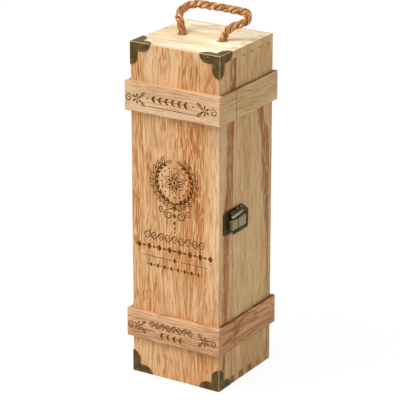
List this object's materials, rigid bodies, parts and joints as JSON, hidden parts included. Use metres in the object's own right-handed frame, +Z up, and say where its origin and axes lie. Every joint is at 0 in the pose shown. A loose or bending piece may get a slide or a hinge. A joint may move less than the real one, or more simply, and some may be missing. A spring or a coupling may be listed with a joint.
{
  "type": "wooden wine box",
  "caption": "Upright wooden box for one wine bottle, with a hinged front lid, a clasp, two battens all round and a rope handle.",
  "frame": {"origin": "centre of the carcass's base, on the surface the box stands on", "axes": "+Z up along the bottle, -Y out of the lid (the front), +X towards the clasp; the hinges are on -X"},
  "size_m": [0.1176, 0.11, 0.3811],
  "materials": {
    "board_wood": "sanded, unvarnished softwood with end-grain fingers",
    "panel_wood": "sanded softwood with strong vertical grain and a burnt ornament",
    "batten_wood": "sanded softwood with eased edges",
    "bronze": "pressed sheet with a dark antique bronze patina",
    "bronze_pins": "small dark bronze nails and pins",
    "hemp_rope": "three-strand natural rope with loose fibres"
  },
  "bodies": {
    "box": {"side_board_left": "board_wood", "side_board_right": "board_wood", "top_board": "board_wood", "bottom_board": "board_wood", "back_panel": "panel_wood", "upper_side_batten_left": "batten_wood", "upper_side_batten_right": "batten_wood", "upper_back_batten": "batten_wood", "upper_hinge_body_leaf": "bronze", "upper_hinge_pin": "bronze_pins", "lower_side_batten_left": "batten_wood", "lower_side_batten_right": "batten_wood", "lower_back_batten": "batten_wood", "lower_hinge_body_leaf": "bronze", "lower_hinge_pin": "bronze_pins", "hinge_nails_body": "bronze_pins", "clasp_body_plate": "bronze", "clasp_flap_pin": "bronze_pins", "clasp_nails_body": "bronze_pins", "rope_handle": "hemp_rope", "rope_knot_left": "hemp_rope", "rope_knot_right": "hemp_rope"},
    "lid": {"front_panel": "panel_wood", "lid_side_rail_left": "board_wood", "lid_side_rail_right": "board_wood", "lid_top_rail": "board_wood", "lid_bottom_rail": "board_wood", "lid_upper_side_batten_left": "batten_wood", "lid_upper_side_batten_right": "batten_wood", "upper_front_batten": "batten_wood", "upper_hinge_lid_leaf": "bronze", "lid_lower_side_batten_left": "batten_wood", "lid_lower_side_batten_right": "batten_wood", "lower_front_batten": "batten_wood", "lower_hinge_lid_leaf": "bronze", "corner_guard_upper_left": "bronze", "corner_guard_upper_right": "bronze", "corner_guard_lower_left": "bronze", "corner_guard_lower_right": "bronze", "corner_guard_nails": "bronze_pins", "hinge_nails_lid": "bronze_pins", "clasp_lid_plate": "bronze", "clasp_nails_lid": "bronze_pins"},
    "flap": {"clasp_flap": "bronze"}
  },
  "joints": [
    {"name": "lid_hinge", "type": "hinge", "parent": "box", "child": "lid", "pos_m": [-0.0573, -0.025, 0.175], "axis": [0, 0, -1], "range_deg": [0, 180]},
    {"name": "flap_hinge", "type": "hinge", "parent": "box", "child": "flap", "pos_m": [0.0538, -0.024, 0.1882], "axis": [0, -1, 0], "range_deg": [0, 120]}
  ]
}
